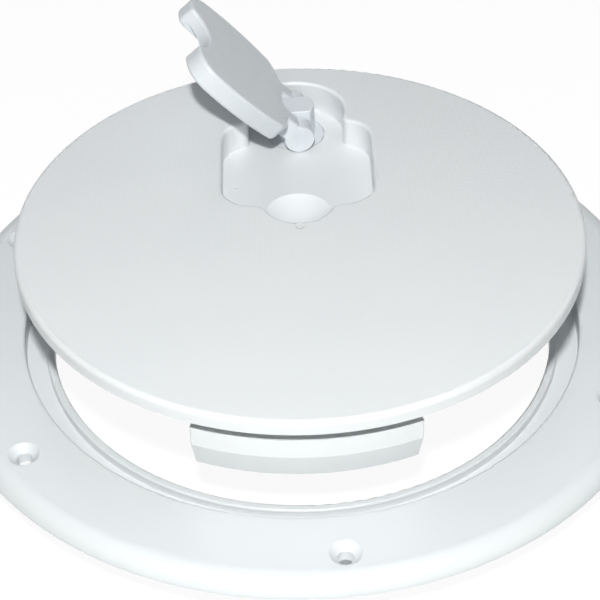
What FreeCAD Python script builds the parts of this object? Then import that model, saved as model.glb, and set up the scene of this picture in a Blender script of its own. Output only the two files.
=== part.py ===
import FreeCAD, Part
import math
import os

# Round deck inspection plate: a screwed-down ring, a lid that hooks under the ring at the front,
# and a fold-down handle at the back that turns a cam under the ring.
# Millimetres. Z is up, Z 0 is the deck, the origin is on the ring's axis, the tongue is at -Y.

# How the plate is shown: lid held clear of the ring and a little turned, handle turned aside and raised
lid_lift = 38.5
lid_turn = 0.55
handle_turn = 83.45
handle_raise = 48.5

# Mounting ring
ring_radius = 120.0
flange_height = 6.0
edge_roll_width = 6.5
edge_land = 1.0
flange_skin = 2.6
flange_foot = 2.0
opening_radius = 83.4
lip_width = 2.8
lip_drop = 4.5
lip_rounding = 0.8
gutter_drop = 7.7
gutter_width = 6.6
seat_rounding = 1.0
ledge_thickness = 2.5
collar_wall = 2.5
collar_depth = 16.0
rib_thickness = 1.8
ribs_between_screws = 5

# Deck screws
screw_outset = 0.35
screw_count = 6
screw_start_angle = -84.0
screw_hole_radius = 2.6
screw_head_radius = 5.0
screw_head_rounding = 0.5
screw_boss_wall = 4.2

# Lid
lid_gap = 0.5
lid_plate = 3.0
lid_rim_height = 5.0
lid_rim_wall = 2.7
lid_rounding = 1.6
skirt_wall = 2.0
skirt_depth = 9.0
skirt_gap = 2.2
lid_rib_depth = 8.0
lid_rib_count = 10
lid_rib_start = 30.0

# Seal between the lid and the ring's lip
seal_thickness = 3.0
seal_groove_gap = 0.2
seal_groove_roof = 2.2
seal_land_gap = 0.3
seal_land_side = 1.6

# Tongue under the front of the lid
tongue_half_angle = 23.1
tongue_reach = 5.1
tongue_ledge_gap = 0.8
tongue_face_height = 7.0
tongue_height = 16.5
tongue_lead_in = 2.7
tongue_wall = 2.4
tongue_rounding = 0.6

# Recess in the lid for the handle
recess_side_gap = 0.8
recess_end_gap = 1.5
recess_corner = 10.5
recess_rear_corner = 9.0
recess_depth = 10.7
recess_floor = 2.4
recess_wall = 2.0
recess_behind_hinge = 8.2
recess_edge_rounding = 1.2
well_radius = 17.0
well_rear_space = 16.0
well_rear_wall = 1.2
well_lip_gap = 0.3
well_junction_rounding = 3.0

# Finger scoop at the front of the recess
scoop_radius = 11.5
scoop_overhang = 9.7
scoop_junction_rounding = 5.0
bowl_radius = 18.2
bowl_centre_height = 3.4
bowl_centre_inset = 8.1
bowl_wall = 2.0

# Latch spindle
spindle_head_radius = 6.7
spindle_head_width = 9.8
spindle_head_proud = 1.6
spindle_head_rounding = 0.6
spindle_flange_radius = 10.0
spindle_flange_thickness = 1.1
spindle_flange_gap = 0.25
shaft_radius = 4.0
running_gap = 0.05
boss_wall = 6.0
boss_length = 3.0
drive_square = 5.6
drive_gap = 0.05
drive_end_gap = 0.2
shaft_seal_thickness = 1.0
shaft_seal_height = 2.1
shaft_groove_height = 1.4

# Cam under the lid
cam_gap = 0.2
cam_hub_radius = 6.5
cam_hub_height = 4.5
cam_arm_width = 9.0
cam_arm_thickness = 3.2
cam_reach = 6.0
cam_ledge_gap = 0.5
cam_well_gap = 0.5
cam_lead_in = 1.6
washer_radius = 5.0
washer_thickness = 1.0
cam_screw_radius = 1.5
cam_screw_gap = 0.05
cam_screw_head_radius = 3.5
cam_screw_head_height = 2.5
cam_screw_head_rounding = 1.25
cam_screw_grip = 8.0
cam_screw_hole_spare = 0.5

# Handle
handle_length = 53.5
handle_half_width = 24.6
handle_end_half_width = 22.6
handle_root_half_width = 21.2
handle_root_length = 13.8
handle_neck_swell = 1.2
handle_neck_length = 9.9
handle_thickness = 7.2
handle_corner = 9.0
handle_edge_rounding = 1.2
handle_horn_rounding = 2.0
notch_radius = 13.4
notch_depth = 6.6
finger_relief_half_width = 10.3
finger_relief_reach = 7.0
finger_relief_depth = 2.4
finger_relief_corner = 4.0
knuckle_radius = 5.2
knuckle_width = 6.9
knuckle_rounding = 0.5
knuckle_floor_gap = 0.2
fork_gap = 0.2
fork_slot_length = 10.2
fork_slot_corner = 2.5
pin_radius = 1.5
pin_fit = 0.02
pin_inset = 0.4

# Worked-out ring places
lip_top = flange_height - lip_drop
lip_outer_radius = opening_radius + lip_width
seat_radius = lip_outer_radius + gutter_width
gutter_floor = flange_height - gutter_drop
ledge_bottom = gutter_floor - ledge_thickness
collar_radius = seat_radius + collar_wall
screw_circle_radius = (collar_radius + ring_radius) / 2 + screw_outset

# Worked-out lid places; the lid's own heights count down from its top face
lid_radius = seat_radius - lid_gap
lid_top = flange_height + lid_lift
rim_inner_radius = lid_radius - lid_rim_wall
seal_radius = opening_radius + lip_width / 2
groove_half_width = seal_thickness / 2 + seal_groove_gap
seal_land_bottom = -(lip_drop - seal_land_gap)
land_outer_radius = seal_radius + groove_half_width + seal_land_side
skirt_outer_radius = opening_radius - skirt_gap
skirt_inner_radius = skirt_outer_radius - skirt_wall
ledge_drop = flange_height - ledge_bottom
tongue_top = -(ledge_drop + tongue_ledge_gap)
tongue_radius = opening_radius + tongue_reach

# Worked-out latch places in the lid
well_rear_radius = opening_radius - well_lip_gap - well_rear_wall
spindle_y = well_rear_radius - well_rear_space
well_y = well_rear_radius - well_radius
floor_z = -recess_depth
floor_bottom = floor_z - recess_floor
boss_bottom = floor_bottom - boss_length
boss_radius = spindle_flange_radius + spindle_flange_gap + boss_wall / 2
hinge_z = floor_z + knuckle_floor_gap + knuckle_radius
shaft_seal_z = boss_bottom + shaft_seal_height
flange_seat_z = floor_z - spindle_flange_thickness - running_gap
recess_half_width = handle_half_width + recess_side_gap
recess_front_y = spindle_y - handle_length - recess_end_gap
recess_rear_y = spindle_y - recess_behind_hinge
scoop_y = recess_front_y - scoop_overhang + scoop_radius
bowl_y = recess_front_y + bowl_centre_inset
cam_top = boss_bottom - cam_gap
cam_bottom = cam_top - cam_hub_height
cam_tip_top = -(ledge_drop + cam_ledge_gap)
cam_tip_outer = opening_radius + cam_reach - spindle_y
cam_tip_inner = well_radius + recess_wall + cam_well_gap
fork_inner = spindle_head_width / 2 + fork_gap
fork_outer = fork_inner + knuckle_width


def point(x, y, z):
    return FreeCAD.Vector(x, y, z)


def turned(points, angle=360.0, start=0.0):
    """Solid made by turning a radius-height outline about Z; a middle point of three makes an arc."""
    edges = []
    for first, second in zip(points, points[1:] + points[:1]):
        a = point(first[0], 0, first[1])
        b = point(second[0], 0, second[1])
        if len(first) == 4:
            edges.append(Part.Arc(a, point(first[2], 0, first[3]), b).toShape())
        else:
            edges.append(Part.LineSegment(a, b).toShape())
    face = Part.Face(Part.Wire(edges))
    solid = face.revolve(point(0, 0, 0), point(0, 0, 1), angle)
    solid.rotate(point(0, 0, 0), point(0, 0, 1), start)
    return solid


def arc_from(corner, a, b, radius):
    """Start point and mid point of a quarter round that replaces a square corner."""
    pull = radius * (1 - math.sqrt(0.5))
    start = (corner[0] + a[0] * radius, corner[1] + a[1] * radius)
    middle = (corner[0] + (a[0] + b[0]) * pull, corner[1] + (a[1] + b[1]) * pull)
    end = (corner[0] + b[0] * radius, corner[1] + b[1] * radius)
    return start + middle, end


def cylinder(radius, bottom, top, x=0.0, y=0.0):
    return Part.makeCylinder(radius, top - bottom, point(x, y, bottom))


def box(x0, x1, y0, y1, z0, z1):
    return Part.makeBox(x1 - x0, y1 - y0, z1 - z0, point(x0, y0, z0))


def upright_edges(solid, test):
    """The solid's vertical edges whose plan position passes a test."""
    picked = []
    for edge in solid.Edges:
        a = edge.Vertexes[0].Point
        b = edge.Vertexes[-1].Point
        if abs(a.x - b.x) < 1e-6 and abs(a.y - b.y) < 1e-6 and abs(a.z - b.z) > 1e-6 and test(a.x, a.y):
            picked.append(edge)
    return picked


def rounded_block(half_width, y0, y1, front_corner, rear_corner, bottom, top):
    """Block that is symmetric about X 0, with its own corner radius at each end."""
    solid = box(-half_width, half_width, y0, y1, bottom, top)
    middle = (y0 + y1) / 2
    solid = solid.makeFillet(front_corner, upright_edges(solid, lambda x, y: y < middle))
    return solid.makeFillet(rear_corner, upright_edges(solid, lambda x, y: y > middle))


def spread(solid, count, start, step):
    copies = []
    for index in range(count):
        copy = solid.copy()
        copy.rotate(point(0, 0, 0), point(0, 0, 1), start + index * step)
        copies.append(copy)
    return copies


def screw_hole():
    """Space of one screw hole: bore, countersink and the countersink's rounded rim."""
    slope = math.radians(45)
    sink_depth = (screw_head_radius - screw_hole_radius) / math.tan(slope)
    rim_radius = screw_head_radius + screw_head_rounding * math.tan(slope / 2)
    rim_centre_z = flange_height - screw_head_rounding
    rim = []
    for angle in (slope, slope / 2):
        rim.append(rim_radius - screw_head_rounding * math.sin(angle))
        rim.append(rim_centre_z + screw_head_rounding * math.cos(angle))
    section = [
        (0, -1),
        (screw_hole_radius, -1),
        (screw_hole_radius, flange_height - sink_depth),
        tuple(rim),
        (rim_radius, flange_height),
        (rim_radius, flange_height + 1),
        (0, flange_height + 1),
    ]
    return turned(section)


def mounting_ring():
    """Flange, lid seat with its gutter and lip, and the collar that drops into the deck."""
    land_z = edge_land
    roll_height = flange_height - land_z
    roll_start = ring_radius - edge_roll_width
    roll_mid_r = roll_start + edge_roll_width * math.sqrt(0.5)
    roll_mid_z = land_z + roll_height * math.sqrt(0.5)
    seat_arc, seat_end = arc_from((seat_radius, flange_height), (1, 0), (0, -1), seat_rounding)
    lip_arc, lip_end = arc_from((lip_outer_radius, lip_top), (0, -1), (-1, 0), lip_rounding)
    lip_arc2, lip_end2 = arc_from((opening_radius, lip_top), (1, 0), (0, -1), lip_rounding)
    section = [
        (ring_radius, 0),
        (ring_radius, land_z, roll_mid_r, roll_mid_z),
        (roll_start, flange_height),
        seat_arc,
        seat_end,
        (seat_radius, gutter_floor),
        (lip_outer_radius, gutter_floor),
        lip_arc,
        lip_end,
        lip_arc2,
        lip_end2,
        (opening_radius, ledge_bottom),
        (seat_radius, ledge_bottom),
        (seat_radius, -collar_depth),
        (collar_radius, -collar_depth),
        (collar_radius, 0),
    ]
    ring = turned(section)

    # The flange is cored from below, and leaves ribs and a boss round each screw
    core_top = flange_height - flange_skin
    core_inner = collar_radius + flange_foot
    core_outer = roll_start
    boss_radius_here = screw_head_radius + screw_boss_wall - flange_skin
    core = cylinder(core_outer, 0, core_top).cut(cylinder(core_inner, 0, core_top))
    boss = cylinder(boss_radius_here, 0, core_top, screw_circle_radius)
    bosses = spread(boss, screw_count, screw_start_angle, 360.0 / screw_count)
    spaces = ribs_between_screws + 1
    rib = box(core_inner - 1, core_outer + 1, -rib_thickness / 2, rib_thickness / 2, 0, core_top)
    rib_step = 360.0 / (screw_count * spaces)
    ribs = []
    for index in range(ribs_between_screws):
        ribs += spread(rib, screw_count, screw_start_angle + (index + 1) * rib_step, 360.0 / screw_count)
    core = core.cut(Part.makeCompound(bosses + ribs))
    ring = ring.cut(core)

    hole = screw_hole()
    hole.translate(point(screw_circle_radius, 0, 0))
    holes = spread(hole, screw_count, screw_start_angle, 360.0 / screw_count)
    return ring.cut(Part.makeCompound(holes))


def lid_disc():
    """Turned part of the lid: plate, rim, seal land with its groove, and guide skirt."""
    rim_arc, rim_end = arc_from((lid_radius, 0), (0, -1), (-1, 0), lid_rounding)
    section = [
        (0, -lid_plate),
        (skirt_inner_radius, -lid_plate),
        (skirt_inner_radius, -skirt_depth),
        (skirt_outer_radius, -skirt_depth),
        (skirt_outer_radius, seal_land_bottom),
        (seal_radius - groove_half_width, seal_land_bottom),
        (seal_radius - groove_half_width, -seal_groove_roof),
        (seal_radius + groove_half_width, -seal_groove_roof),
        (seal_radius + groove_half_width, seal_land_bottom),
        (land_outer_radius, seal_land_bottom),
        (land_outer_radius, -lid_plate),
        (rim_inner_radius, -lid_plate),
        (rim_inner_radius, -lid_rim_height),
        (lid_radius, -lid_rim_height),
        rim_arc,
        rim_end,
        (0, 0),
    ]
    return turned(section)


def tongue():
    """Hook under the front of the lid, cored from below."""
    crease = tongue_top - tongue_face_height
    bottom = tongue_top - tongue_height
    inner = skirt_inner_radius
    outer_section = [
        (inner, -lid_plate),
        (skirt_outer_radius, -lid_plate),
        (skirt_outer_radius, tongue_top),
        (tongue_radius, tongue_top),
        (tongue_radius, crease),
        (tongue_radius - tongue_lead_in, bottom),
        (inner, bottom),
    ]
    core_section = [
        (skirt_outer_radius, bottom - 1),
        (skirt_outer_radius, tongue_top - tongue_wall),
        (tongue_radius - tongue_wall, tongue_top - tongue_wall),
        (tongue_radius - tongue_wall, crease),
        (tongue_radius - tongue_wall - tongue_lead_in, bottom),
        (tongue_radius - tongue_wall - tongue_lead_in, bottom - 1),
    ]
    end_wall_angle = math.degrees(tongue_wall / tongue_radius)
    hook = turned(outer_section, 2 * tongue_half_angle, -90 - tongue_half_angle)
    core_half_angle = tongue_half_angle - end_wall_angle
    core = turned(core_section, 2 * core_half_angle, -90 - core_half_angle)
    rounded = []
    for edge in hook.Edges:
        a = edge.Vertexes[0].Point
        b = edge.Vertexes[-1].Point
        reach_a = math.hypot(a.x, a.y)
        reach_b = math.hypot(b.x, b.y)
        level = min(reach_a, reach_b) > skirt_outer_radius + 1
        if level and abs(a.z - b.z) > 1:
            rounded.append(edge)
    hook = hook.makeFillet(tongue_rounding, rounded)
    return hook.cut(core)


def recess_outline(grow, bottom, top):
    """Block with the plan of the recess, the spindle's well and the finger scoop, grown all round."""
    main = rounded_block(
        recess_half_width + grow,
        recess_front_y - grow,
        recess_rear_y + grow,
        recess_corner + grow,
        recess_rear_corner + grow,
        bottom,
        top,
    )
    well = cylinder(well_radius + grow, bottom, top, 0, well_y)
    scoop = cylinder(scoop_radius + grow, bottom, top, 0, scoop_y)
    block = main.fuse([well, scoop]).removeSplitter()
    near_well = upright_edges(
        block,
        lambda x, y: abs(math.hypot(x, y - well_y) - well_radius - grow) < 0.01 and y < well_y - 0.1,
    )
    block = block.makeFillet(well_junction_rounding - grow, near_well)
    near_scoop = upright_edges(
        block,
        lambda x, y: abs(math.hypot(x, y - scoop_y) - scoop_radius - grow) < 0.01 and y < scoop_y - 0.1,
    )
    return block.makeFillet(scoop_junction_rounding - grow, near_scoop)


def recess_space():
    """The space that the recess takes out of the lid; the scoop is a ball's bowl in front of it."""
    above = 2.0
    block = recess_outline(0, 2 * floor_z, above)
    well_side = box(-ring_radius, ring_radius, recess_front_y, ring_radius, floor_z, above)
    ball = Part.makeSphere(bowl_radius, point(0, bowl_y, bowl_centre_height))
    return block.common(well_side).fuse(block.common(ball)).removeSplitter()


def recess_shell():
    """Walls and floor that hang under the lid round the recess, clear of the ring's lip."""
    walls = recess_outline(recess_wall, floor_bottom, -lid_plate / 2)
    boss = cylinder(boss_radius, boss_bottom, floor_z, 0, spindle_y)
    ball = Part.makeSphere(bowl_radius + bowl_wall, point(0, bowl_y, bowl_centre_height))
    below = box(-ring_radius, ring_radius, -ring_radius, ring_radius, -ring_radius, floor_bottom + 0.5)
    shell = walls.fuse([boss, ball.common(below)])
    return shell.common(cylinder(opening_radius - well_lip_gap, -ring_radius, 0))


def lid_ribs():
    """Stiffening ribs under the lid's plate, from the recess out to the skirt."""
    rib = box(lid_rib_start, skirt_inner_radius + 0.5, -rib_thickness / 2, rib_thickness / 2,
              -lid_rib_depth, -lid_plate / 2)
    step = 360.0 / lid_rib_count
    return spread(rib, lid_rib_count, -90.0, step)


def lid_panel():
    """The lid, moulded in one piece."""
    lid = lid_disc().fuse(lid_ribs() + [recess_shell(), tongue()])
    lid = lid.cut(recess_space())
    shaft_bore = cylinder(shaft_radius + running_gap, boss_bottom - 1, floor_z + 1, 0, spindle_y)
    flange_seat = cylinder(
        spindle_flange_radius + spindle_flange_gap, flange_seat_z, floor_z + 1, 0, spindle_y
    )
    lid = lid.cut(shaft_bore.fuse(flange_seat)).removeSplitter()
    rim = []
    for edge in lid.Edges:
        places = [vertex.Point for vertex in edge.Vertexes]
        middle = edge.valueAt((edge.FirstParameter + edge.LastParameter) / 2)
        if all(abs(p.z) < 1e-6 for p in places + [middle]) and math.hypot(middle.x, middle.y) < seal_radius:
            rim.append(edge)
    return lid.makeFillet(recess_edge_rounding, rim)


def seal_ring(radius, thickness, z):
    return Part.makeTorus(radius, thickness / 2, point(0, 0, z))


def spindle_head():
    """Round post with a flat on each side for the handle's knuckles."""
    flat = spindle_head_width / 2
    reach = spindle_head_radius
    post = cylinder(reach, floor_z - 0.5, spindle_head_proud)
    post = post.common(box(-reach, reach, -flat, flat, floor_z - 0.5, spindle_head_proud))
    top = [e for e in post.Edges if all(abs(v.Z - spindle_head_proud) < 1e-6 for v in e.Vertexes)]
    return post.makeFillet(spindle_head_rounding, top)


def latch_spindle():
    """Head between the handle's knuckles, flange let into the recess floor, shaft and square drive."""
    flange = cylinder(spindle_flange_radius, floor_z - spindle_flange_thickness, floor_z)
    shaft = cylinder(shaft_radius, cam_top, floor_z)
    half = drive_square / 2
    drive = box(-half, half, -half, half, cam_bottom + drive_end_gap, cam_top)
    spindle = spindle_head().fuse([flange, shaft, drive])
    pin_bore = Part.makeCylinder(
        pin_radius + running_gap,
        2 * spindle_head_width,
        point(0, -spindle_head_width, hinge_z),
        point(0, 1, 0),
    )
    groove_half = shaft_groove_height / 2
    groove = cylinder(shaft_radius + 1, shaft_seal_z - groove_half, shaft_seal_z + groove_half)
    groove = groove.cut(cylinder(shaft_radius - shaft_seal_thickness - running_gap, boss_bottom - 1, floor_z))
    screw_end = cam_bottom + cam_screw_grip + cam_screw_hole_spare
    screw_hole = cylinder(cam_screw_radius + cam_screw_gap, cam_bottom - 1, screw_end)
    return spindle.cut(pin_bore).cut(groove).cut(screw_hole)


def spindle_seal():
    """O-ring in the shaft's groove."""
    return seal_ring(shaft_radius - shaft_seal_thickness / 2, shaft_seal_thickness, shaft_seal_z)


def latch_cam():
    """Arm under the lid whose raised tip turns under the ring's ledge; it points away from the handle."""
    half = cam_arm_width / 2
    hub = cylinder(cam_hub_radius, cam_bottom, cam_top)
    arm = box(-cam_tip_outer, 0, -half, half, cam_bottom, cam_bottom + cam_arm_thickness)
    tip = box(-cam_tip_outer, -cam_tip_inner, -half, half, cam_bottom, cam_tip_top)
    for side in (-1, 1):
        wedge_points = [
            (side * (half - cam_lead_in), cam_tip_top + 1),
            (side * (half - cam_lead_in), cam_tip_top),
            (side * half, cam_tip_top - cam_lead_in),
            (side * (half + 1), cam_tip_top - cam_lead_in),
            (side * (half + 1), cam_tip_top + 1),
        ]
        corners = [point(-cam_tip_outer - 1, y, z) for y, z in wedge_points]
        wedge = Part.Face(Part.makePolygon(corners + corners[:1]))
        tip = tip.cut(wedge.extrude(point(cam_tip_outer + 1, 0, 0)))
    square = drive_square / 2 + drive_gap
    cam = hub.fuse([arm, tip]).removeSplitter()
    rounded = cylinder(cam_tip_outer, cam_bottom - 1, cam_tip_top + 2)
    cam = cam.common(rounded)
    return cam.cut(box(-square, square, -square, square, cam_bottom - 1, cam_top + 1))


def cam_washer():
    washer = cylinder(washer_radius, cam_bottom - washer_thickness, cam_bottom)
    bore = cylinder(cam_screw_radius + cam_screw_gap, cam_bottom - washer_thickness - 1, cam_bottom + 1)
    return washer.cut(bore)


def cam_screw():
    """Pan head screw that holds the cam on the spindle's square."""
    head_top = cam_bottom - washer_thickness
    head_bottom = head_top - cam_screw_head_height
    head = cylinder(cam_screw_head_radius, head_bottom, head_top)
    lower = [e for e in head.Edges if e.Closed and abs(e.Vertexes[0].Z - head_bottom) < 1e-6]
    head = head.makeFillet(cam_screw_head_rounding, lower)
    shank = cylinder(cam_screw_radius, head_top, cam_bottom + cam_screw_grip)
    return head.fuse(shank).removeSplitter()


def handle_plan():
    """The handle's plate from above: it runs along X from the hinge and is symmetric about X."""
    bottom = -handle_thickness / 2
    middle_x = (handle_root_length + handle_length) / 2
    run = handle_root_length - handle_neck_length
    rise = handle_root_half_width - fork_outer
    chord = math.hypot(run, rise)
    neck_x = handle_neck_length + run / 2 - handle_neck_swell * rise / chord
    neck_y = fork_outer + rise / 2 + handle_neck_swell * run / chord
    edges = []
    for side in (1, -1):
        hinge = point(0, side * fork_outer, bottom)
        neck = point(handle_neck_length, side * fork_outer, bottom)
        root = point(handle_root_length, side * handle_root_half_width, bottom)
        end = point(handle_length, side * handle_end_half_width, bottom)
        edges.append(Part.LineSegment(hinge, neck).toShape())
        edges.append(Part.Arc(neck, point(neck_x, side * neck_y, bottom), root).toShape())
        edges.append(Part.Arc(root, point(middle_x, side * handle_half_width, bottom), end).toShape())
    for x, half in ((0, fork_outer), (handle_length, handle_end_half_width)):
        edges.append(Part.LineSegment(point(x, -half, bottom), point(x, half, bottom)).toShape())
    face = Part.Face(Part.Wire(Part.__sortEdges__(edges)))
    plate = face.extrude(point(0, 0, handle_thickness))
    plate = plate.makeFillet(handle_corner, upright_edges(plate, lambda x, y: x > handle_length - 1))
    notch = cylinder(notch_radius, bottom - 1, -bottom + 1, handle_length - notch_depth + notch_radius)
    plate = plate.cut(notch)
    horns = upright_edges(plate, lambda x, y: x > handle_length - 0.5 and abs(y) < notch_radius)
    return plate.makeFillet(handle_horn_rounding, horns)


def latch_handle():
    """Flat handle with a finger notch in its end and two round knuckles at its hinge."""
    plate = handle_plan()
    half = handle_thickness / 2
    slot = box(-knuckle_radius * 2, fork_slot_length, -fork_inner, fork_inner, -half - 1, half + 1)
    slot = slot.makeFillet(fork_slot_corner, upright_edges(slot, lambda x, y: x > 0))
    plate = plate.cut(slot)
    broken = []
    for edge in plate.Edges:
        level = all(abs(abs(v.Z) - half) < 1e-6 for v in edge.Vertexes)
        middle = edge.valueAt((edge.FirstParameter + edge.LastParameter) / 2)
        if level and middle.x > 0.1:
            broken.append(edge)
    plate = plate.makeFillet(handle_edge_rounding, broken)

    # Under the notch the plate is thinner, so that a fingertip gets beneath it
    relief_x = handle_length - notch_depth - finger_relief_reach
    relief = box(relief_x, handle_length + 1, -finger_relief_half_width, finger_relief_half_width,
                 -half - 1, -half + finger_relief_depth)
    relief = relief.makeFillet(finger_relief_corner, upright_edges(relief, lambda x, y: x < relief_x + 0.1))
    plate = plate.cut(relief)
    knuckle = Part.makeCylinder(knuckle_radius, knuckle_width, point(0, fork_inner, 0), point(0, 1, 0))
    rims = [e for e in knuckle.Edges if e.Closed and abs(e.Vertexes[0].Y - fork_outer) < 1e-6]
    knuckle = knuckle.makeFillet(knuckle_rounding, rims)
    other = knuckle.mirror(point(0, 0, 0), point(0, 1, 0))
    handle = plate.fuse([knuckle, other])
    bore = Part.makeCylinder(pin_radius + pin_fit, 4 * fork_outer, point(0, -2 * fork_outer, 0), point(0, 1, 0))
    return handle.cut(bore)


def hinge_pin():
    half = fork_outer - pin_inset
    return Part.makeCylinder(pin_radius, 2 * half, point(0, -half, 0), point(0, 1, 0))


def on_lid(shape):
    shape.rotate(point(0, 0, 0), point(0, 0, 1), lid_turn)
    shape.translate(point(0, 0, lid_top))
    return shape


def on_spindle(shape):
    """Turn a piece with the spindle and set it in the lid; the stowed handle lies towards -Y."""
    shape.rotate(point(0, 0, 0), point(0, 0, 1), -90 - handle_turn)
    shape.translate(point(0, spindle_y, 0))
    return on_lid(shape)


def on_hinge(shape):
    shape.rotate(point(0, 0, 0), point(0, 1, 0), -handle_raise)
    shape.translate(point(0, 0, hinge_z))
    return on_spindle(shape)


pieces = {
    "mounting_ring": mounting_ring(),
    "lid_panel": on_lid(lid_panel()),
    "lid_seal": on_lid(seal_ring(seal_radius, seal_thickness, -seal_groove_roof - seal_thickness / 2)),
    "latch_spindle": on_spindle(latch_spindle()),
    "spindle_seal": on_spindle(spindle_seal()),
    "latch_cam": on_spindle(latch_cam()),
    "cam_washer": on_spindle(cam_washer()),
    "cam_screw": on_spindle(cam_screw()),
    "latch_handle": on_hinge(latch_handle()),
    "hinge_pin": on_hinge(hinge_pin()),
}

os.makedirs("parts", exist_ok=True)
for name, shape in pieces.items():
    shape.exportStep("parts/" + name + ".step")
    print(name, shape.isValid(), len(shape.Solids), "solid,", round(shape.Volume / 1000, 2), "cm3")
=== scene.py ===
import math

import bpy
from mathutils import Matrix, Vector

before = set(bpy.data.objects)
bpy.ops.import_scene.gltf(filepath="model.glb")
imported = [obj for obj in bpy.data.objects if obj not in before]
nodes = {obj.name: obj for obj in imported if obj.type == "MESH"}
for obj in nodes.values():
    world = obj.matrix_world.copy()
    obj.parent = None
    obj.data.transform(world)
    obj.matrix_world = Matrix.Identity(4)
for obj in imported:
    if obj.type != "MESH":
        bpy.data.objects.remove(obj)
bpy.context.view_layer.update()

# White deck inspection plate: ring, lid lifted clear of it, and a handle that turns its latch.
# Metres. Z is the ring's axis, the deck is at z 0, and the lid's tongue is at -Y.

mmPerMetre = 1000
pureWhite = (1.0, 1.0, 1.0, 1.0)
print("frame loaded", len(nodes), "nodes")


# sRGB hex to linear: c / 12.92 up to 0.04045, else (c + 0.055) / 1.055 to the power 2.4
def linearColour(hexColour):
    channels = [int(hexColour[i:i + 2], 16) / 255 for i in (1, 3, 5)]
    return [c / 12.92 if c <= 0.04045 else ((c + 0.055) / 1.055) ** 2.4 for c in channels] + [1.0]


# adds a node with its settings and input values, and links other nodes' sockets into it
def addNode(tree, kind, settings=None, inputs=None, links=None):
    node = tree.nodes.new(kind)
    for name, value in (settings or {}).items():
        setattr(node, name, value)
    for name, value in (inputs or {}).items():
        node.inputs[name].default_value = value
    for name, socket in (links or {}).items():
        tree.links.new(socket, node.inputs[name])
    return node


# empty material, its node tree and its output node
def newMaterial(name):
    material = bpy.data.materials.new(name)
    material.use_nodes = True
    material.node_tree.nodes.clear()
    output = addNode(material.node_tree, "ShaderNodeOutputMaterial")
    return material, material.node_tree, output


# light path node, and a value that is 1 for rays from the camera or from a reflection
def seenDirectly(tree):
    path = addNode(tree, "ShaderNodeLightPath")
    direct = addNode(
        tree, "ShaderNodeMath", {"operation": "MAXIMUM"},
        links={0: path.outputs["Is Camera Ray"], 1: path.outputs["Is Glossy Ray"]})
    return path, direct


# puts one material on the pieces named
def dress(material, *names):
    for name in names:
        mesh = nodes[name].data
        mesh.materials.clear()
        mesh.materials.append(material)
    print("dressed", ", ".join(names), "with", material.name)


# camera fitted to the photograph
cameraLook = {
    "focalPixels": 1862.25,
    "imagePixels": 600.0,
    "sensorMm": 36.0,
    "aim": (-0.0004, 0.00735, 0.006),
    "distance": 0.63293,
    "elevationDeg": 40.29,
    "rollDeg": -1.33,
    "clipStart": 0.01,
}

elevation = math.radians(cameraLook["elevationDeg"])
roll = math.radians(cameraLook["rollDeg"])
backAxis = Vector((0.0, -math.cos(elevation), math.sin(elevation)))  # from the aim to the camera
rightAxis = Vector((1.0, 0.0, 0.0))
upAxis = backAxis.cross(rightAxis)
rightRolled = rightAxis * math.cos(roll) + upAxis * math.sin(roll)
upRolled = upAxis * math.cos(roll) - rightAxis * math.sin(roll)
cameraMatrix = Matrix((rightRolled, upRolled, backAxis)).transposed().to_4x4()
cameraMatrix.translation = Vector(cameraLook["aim"]) + backAxis * cameraLook["distance"]

cameraData = bpy.data.cameras.new("photoCamera")
cameraData.sensor_width = cameraLook["sensorMm"]
cameraData.lens = cameraLook["focalPixels"] / cameraLook["imagePixels"] * cameraLook["sensorMm"]
cameraData.clip_start = cameraLook["clipStart"]
photoCamera = bpy.data.objects.new("photoCamera", cameraData)
photoCamera.matrix_world = cameraMatrix
bpy.context.scene.collection.objects.link(photoCamera)
bpy.context.scene.camera = photoCamera
bpy.context.scene.view_settings.view_transform = "Standard"
print("camera set")


# small hard key lamp over the tongue, low fill for the upright faces, wide soft sky
lampLooks = {
    "keyLamp": {
        "place": (-0.012, -0.5, 0.61),
        "target": (0.0, 0.0, 0.02),
        "size": 0.04,
        "watts": 5.3,
        "colour": "#fffffd",
        "sheen": True,
    },
    "frontLamp": {
        "place": (0.0, -0.78, 0.2),
        "target": (0.0, 0.0, 0.02),
        "size": 0.6,
        "watts": 1.0,
        "colour": "#fffffd",
        "sheen": False,  # no reflection shows it, so it leaves no highlight
    },
    "skyLamp": {
        "place": (0.0, 0.0, 1.2),
        "target": (0.0, 0.0, 0.0),
        "size": 1.6,
        "watts": 2.7,
        "colour": "#e4effa",
        "sheen": True,
    },
}

for lampName, look in lampLooks.items():
    lampData = bpy.data.lights.new(lampName, "AREA")
    lampData.shape = "DISK"
    lampData.size = look["size"]
    lampData.energy = look["watts"]
    lampData.color = linearColour(look["colour"])[:3]
    lamp = bpy.data.objects.new(lampName, lampData)
    lamp.location = look["place"]
    lampAim = Vector(look["target"]) - Vector(look["place"])
    lamp.rotation_mode = "QUATERNION"
    lamp.rotation_quaternion = lampAim.to_track_quat("-Z", "Y")
    lamp.visible_glossy = look["sheen"]
    bpy.context.scene.collection.objects.link(lamp)
print("lamps set")


# white surround for the camera and reflections, which lights the object only faintly
worldLook = {
    "ambient": 0.02,
    "ambientColour": "#e6eff6",
    "surround": 1.0,
}

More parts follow.
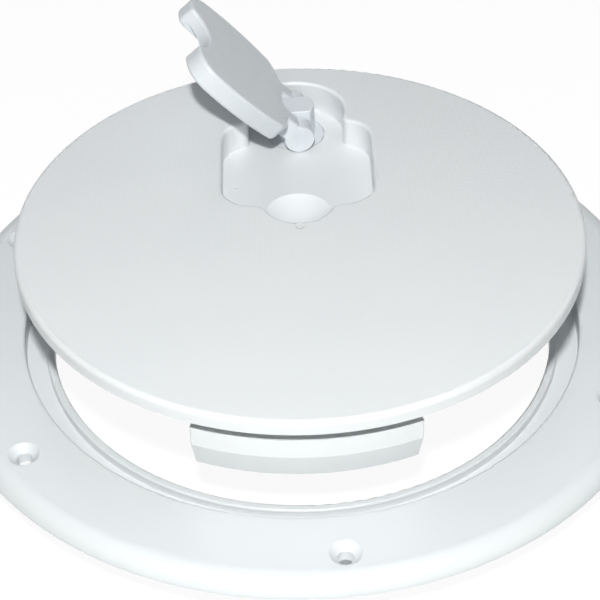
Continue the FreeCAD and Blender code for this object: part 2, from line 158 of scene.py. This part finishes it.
world = bpy.data.worlds.new("studioWorld")
bpy.context.scene.world = world
world.use_nodes = True
worldTree = world.node_tree
worldTree.nodes.clear()
worldPath, worldDirect = seenDirectly(worldTree)
worldSeen = addNode(
    worldTree, "ShaderNodeMath", {"operation": "MAXIMUM"},
    links={0: worldDirect.outputs[0], 1: worldPath.outputs["Is Transmission Ray"]})
ambientLight = addNode(
    worldTree, "ShaderNodeBackground",
    inputs={"Color": linearColour(worldLook["ambientColour"]), "Strength": worldLook["ambient"]})
whiteSurround = addNode(
    worldTree, "ShaderNodeBackground",
    inputs={"Color": pureWhite, "Strength": worldLook["surround"]})
worldMix = addNode(
    worldTree, "ShaderNodeMixShader",
    links={0: worldSeen.outputs[0], 1: ambientLight.outputs[0], 2: whiteSurround.outputs[0]})
addNode(worldTree, "ShaderNodeOutputWorld", links={"Surface": worldMix.outputs[0]})
print("world set")


# painted white board just below the collar: all but burnt out, with a faint shadow
floorLook = {
    "height": -0.0161,
    "halfSize": 3.0,
    "glow": 0.93,              # what the camera sees in full shadow
    "shadowDepth": 0.10,       # how much the lamps add where no shadow falls
    "bounceColour": "#e2e4e4",  # what lights the object from below
}

half, height = floorLook["halfSize"], floorLook["height"]
corners = [(-half, -half, height), (half, -half, height), (half, half, height), (-half, half, height)]
floorMesh = bpy.data.meshes.new("studioFloor")
floorMesh.from_pydata(corners, [], [(0, 1, 2, 3)])
studioFloor = bpy.data.objects.new("studioFloor", floorMesh)
bpy.context.scene.collection.objects.link(studioFloor)
floorPaint, floorTree, floorOutput = newMaterial("paintedWhiteBoard")
floorDirect = seenDirectly(floorTree)[1]
floorGlow = addNode(
    floorTree, "ShaderNodeEmission", inputs={"Color": pureWhite, "Strength": floorLook["glow"]})
floorShade = addNode(
    floorTree, "ShaderNodeBsdfDiffuse", inputs={"Color": [floorLook["shadowDepth"]] * 3 + [1.0]})
floorShown = addNode(
    floorTree, "ShaderNodeAddShader", links={0: floorGlow.outputs[0], 1: floorShade.outputs[0]})
floorBounce = addNode(
    floorTree, "ShaderNodeBsdfDiffuse", inputs={"Color": linearColour(floorLook["bounceColour"])})
floorMix = addNode(
    floorTree, "ShaderNodeMixShader",
    links={0: floorDirect.outputs[0], 1: floorBounce.outputs[0], 2: floorShown.outputs[0]})
floorTree.links.new(floorMix.outputs[0], floorOutput.inputs["Surface"])
floorMesh.materials.append(floorPaint)
print("floor set")


# Injection-moulded ASA: opaque white with a soft gloss. A faint orange-peel grain softens the
# highlights, and slow sink marks bend them and shift the tint and roughness a little.
# A noise with a period in mm has a scale of 1000 / mm.
def mouldedPlastic(name, look):
    material, tree, output = newMaterial(name)
    coords = addNode(tree, "ShaderNodeTexCoord").outputs["Object"]
    sink = addNode(
        tree, "ShaderNodeTexNoise",
        inputs={"Scale": mmPerMetre / look["sinkMm"], "Detail": look["sinkDetail"]},
        links={"Vector": coords})
    grain = addNode(
        tree, "ShaderNodeTexNoise",
        inputs={"Scale": mmPerMetre / look["grainMm"], "Detail": look["grainDetail"]},
        links={"Vector": coords})
    sinkBump = addNode(
        tree, "ShaderNodeBump",
        inputs={"Strength": 1.0, "Distance": look["sinkDepthMm"] / mmPerMetre},
        links={"Height": sink.outputs["Fac"]})
    grainBump = addNode(
        tree, "ShaderNodeBump",
        inputs={"Strength": 1.0, "Distance": look["grainDepthMm"] / mmPerMetre},
        links={"Height": grain.outputs["Fac"], "Normal": sinkBump.outputs[0]})
    tint = addNode(  # sockets 6 and 7 are the two colours, and output 2 the mix
        tree, "ShaderNodeMix", {"data_type": "RGBA"},
        inputs={6: linearColour(look["colour"]), 7: linearColour(look["colourAway"])},
        links={0: sink.outputs["Fac"]})
    rough = addNode(
        tree, "ShaderNodeMapRange",
        inputs={"To Min": look["roughness"][0], "To Max": look["roughness"][1]},
        links={"Value": sink.outputs["Fac"]})
    surface = addNode(
        tree, "ShaderNodeBsdfPrincipled", inputs={"IOR": look["ior"]},
        links={"Base Color": tint.outputs[2], "Roughness": rough.outputs[0], "Normal": grainBump.outputs[0]})
    tree.links.new(surface.outputs[0], output.inputs["Surface"])
    return material, tree, coords, surface, grainBump


# ring: the smooth, slightly greyer moulding
ringLook = {
    "colour": "#e5e8ea",
    "colourAway": "#e1e5e7",
    "roughness": (0.26, 0.33),
    "ior": 1.53,
    "grainMm": 0.5,
    "grainDepthMm": 0.006,
    "grainDetail": 2.0,
    "sinkMm": 35.0,
    "sinkDepthMm": 0.25,
    "sinkDetail": 1.0,
}

ringPlastic = mouldedPlastic("mouldedWhiteAsaSmooth", ringLook)[0]
dress(ringPlastic, "mounting_ring")


# handle, spindle, cam and pin: the glossiest and coolest white, and the flattest
latchLook = {
    "colour": "#dfe4e8",
    "colourAway": "#dae0e4",
    "roughness": (0.24, 0.3),
    "ior": 1.53,
    "grainMm": 0.5,
    "grainDepthMm": 0.004,
    "grainDetail": 2.0,
    "sinkMm": 30.0,
    "sinkDepthMm": 0.04,
    "sinkDetail": 1.0,
}

latchPlastic = mouldedPlastic("mouldedWhiteAsaGloss", latchLook)[0]
dress(latchPlastic, "latch_handle", "latch_spindle", "latch_cam", "hinge_pin")


# lid: the lightest white, with a fine non-slip tread that dulls its top
lidLook = {
    "colour": "#e9ebec",
    "colourAway": "#e5e8ea",
    "roughness": (0.28, 0.34),
    "ior": 1.53,
    "grainMm": 0.5,
    "grainDepthMm": 0.006,
    "grainDetail": 2.0,
    "sinkMm": 35.0,
    "sinkDepthMm": 0.25,
    "sinkDetail": 1.0,
    "treadMm": 1.1,
    "treadDepthMm": 0.018,
    "treadTurnDeg": 45,
    "treadRadiusMm": 87.4,
    "treadFadeMm": 0.5,
    "lidTopMm": 44.5,
    "belowTopMm": (0.3, 0.05),  # the tread starts at the first depth and is whole at the second
    "mouldMarksMm": (           # place, radius and depth
        ((0.2, -1.1, 44.5), 1.1, 0.2),      # gate mark in front of the finger scoop
        ((-21.4, 34.4, 33.8), 0.15, 0.25),  # pit in the recess floor
    ),
    "markEdgeMm": 0.5,
}

lidPlastic, lidTree, lidCoords, lidSurface, lidBump = mouldedPlastic("mouldedWhiteAsaNonSlip", lidLook)

# tread height: sin(k u) times sin(k v), with u and v turned from X and Y, and k one wave each treadMm
wave = 2 * math.pi * mmPerMetre / lidLook["treadMm"]
turnedCoords = addNode(
    lidTree, "ShaderNodeMapping",
    inputs={"Rotation": (0.0, 0.0, math.radians(lidLook["treadTurnDeg"])), "Scale": (wave, wave, wave)},
    links={"Vector": lidCoords})
split = addNode(lidTree, "ShaderNodeSeparateXYZ", links={0: turnedCoords.outputs[0]})
sinU = addNode(lidTree, "ShaderNodeMath", {"operation": "SINE"}, links={0: split.outputs[0]})
sinV = addNode(lidTree, "ShaderNodeMath", {"operation": "SINE"}, links={0: split.outputs[1]})
tread = addNode(
    lidTree, "ShaderNodeMath", {"operation": "MULTIPLY"},
    links={0: sinU.outputs[0], 1: sinV.outputs[0]})

# the tread stops short of the rim, and is on the top face only
place = addNode(lidTree, "ShaderNodeSeparateXYZ", links={0: lidCoords})
flat = addNode(
    lidTree, "ShaderNodeCombineXYZ", links={"X": place.outputs["X"], "Y": place.outputs["Y"]})
reach = addNode(lidTree, "ShaderNodeVectorMath", {"operation": "LENGTH"}, links={0: flat.outputs[0]})
fadeEndMm = lidLook["treadRadiusMm"] + lidLook["treadFadeMm"]
inside = addNode(
    lidTree, "ShaderNodeMapRange",
    inputs={"From Min": fadeEndMm / mmPerMetre, "From Max": lidLook["treadRadiusMm"] / mmPerMetre},
    links={"Value": reach.outputs["Value"]})
lowMm, highMm = [lidLook["lidTopMm"] - below for below in lidLook["belowTopMm"]]
onTop = addNode(
    lidTree, "ShaderNodeMapRange",
    inputs={"From Min": lowMm / mmPerMetre, "From Max": highMm / mmPerMetre},
    links={"Value": place.outputs["Z"]})
mask = addNode(
    lidTree, "ShaderNodeMath", {"operation": "MULTIPLY"},
    links={0: inside.outputs[0], 1: onTop.outputs[0]})
treadHeight = addNode(
    lidTree, "ShaderNodeMath", {"operation": "MULTIPLY"},
    links={0: tread.outputs[0], 1: mask.outputs[0]})
treadBump = addNode(
    lidTree, "ShaderNodeBump",
    inputs={"Strength": 1.0, "Distance": lidLook["treadDepthMm"] / mmPerMetre},
    links={"Height": treadHeight.outputs[0], "Normal": lidBump.outputs[0]})

# mark height: 0 within the radius, rising smoothly to 1 over the mark's edge
lidNormal = treadBump.outputs[0]
for placeMm, radiusMm, depthMm in lidLook["mouldMarksMm"]:
    away = addNode(
        lidTree, "ShaderNodeVectorMath", {"operation": "DISTANCE"},
        inputs={1: [v / mmPerMetre for v in placeMm]}, links={0: lidCoords})
    edgeMm = radiusMm + lidLook["markEdgeMm"]
    sunk = addNode(
        lidTree, "ShaderNodeMapRange", {"interpolation_type": "SMOOTHSTEP"},
        inputs={"From Min": radiusMm / mmPerMetre, "From Max": edgeMm / mmPerMetre},
        links={"Value": away.outputs["Value"]})
    markBump = addNode(
        lidTree, "ShaderNodeBump",
        inputs={"Strength": 1.0, "Distance": depthMm / mmPerMetre},
        links={"Height": sunk.outputs[0], "Normal": lidNormal})
    lidNormal = markBump.outputs[0]
lidTree.links.new(lidNormal, lidSurface.inputs["Normal"])
dress(lidPlastic, "lid_panel")


# material whose one noise gives both its bump and its change of roughness
def grainedMaterial(name, look):
    material, tree, output = newMaterial(name)
    coords = addNode(tree, "ShaderNodeTexCoord").outputs["Object"]
    grain = addNode(
        tree, "ShaderNodeTexNoise",
        inputs={"Scale": mmPerMetre / look["grainMm"], "Detail": look["grainDetail"]},
        links={"Vector": coords})
    bump = addNode(
        tree, "ShaderNodeBump",
        inputs={"Strength": 1.0, "Distance": look["grainDepthMm"] / mmPerMetre},
        links={"Height": grain.outputs["Fac"]})
    rough = addNode(
        tree, "ShaderNodeMapRange",
        inputs={"To Min": look["roughness"][0], "To Max": look["roughness"][1]},
        links={"Value": grain.outputs["Fac"]})
    surface = addNode(
        tree, "ShaderNodeBsdfPrincipled",
        inputs={"Base Color": linearColour(look["colour"]), **look["surface"]},
        links={"Roughness": rough.outputs[0], "Normal": bump.outputs[0]})
    tree.links.new(surface.outputs[0], output.inputs["Surface"])
    return material


# both seals: moulded nitrile rubber, near black and dull, with a fine matt grain
sealLook = {
    "colour": "#16171a",
    "roughness": (0.45, 0.62),
    "grainMm": 0.35,
    "grainDepthMm": 0.02,
    "grainDetail": 3.0,
    "surface": {"IOR": 1.52},
}

dress(grainedMaterial("mouldedNitrileRubber", sealLook), "lid_seal", "spindle_seal")


# screw and washer under the cam: turned stainless steel, bright, with fine tool marks
steelLook = {
    "colour": "#b9bbbd",
    "roughness": (0.18, 0.34),
    "grainMm": 0.12,
    "grainDepthMm": 0.004,
    "grainDetail": 2.0,
    "surface": {"Metallic": 1.0},
}

dress(grainedMaterial("turnedStainlessSteel", steelLook), "cam_screw", "cam_washer")
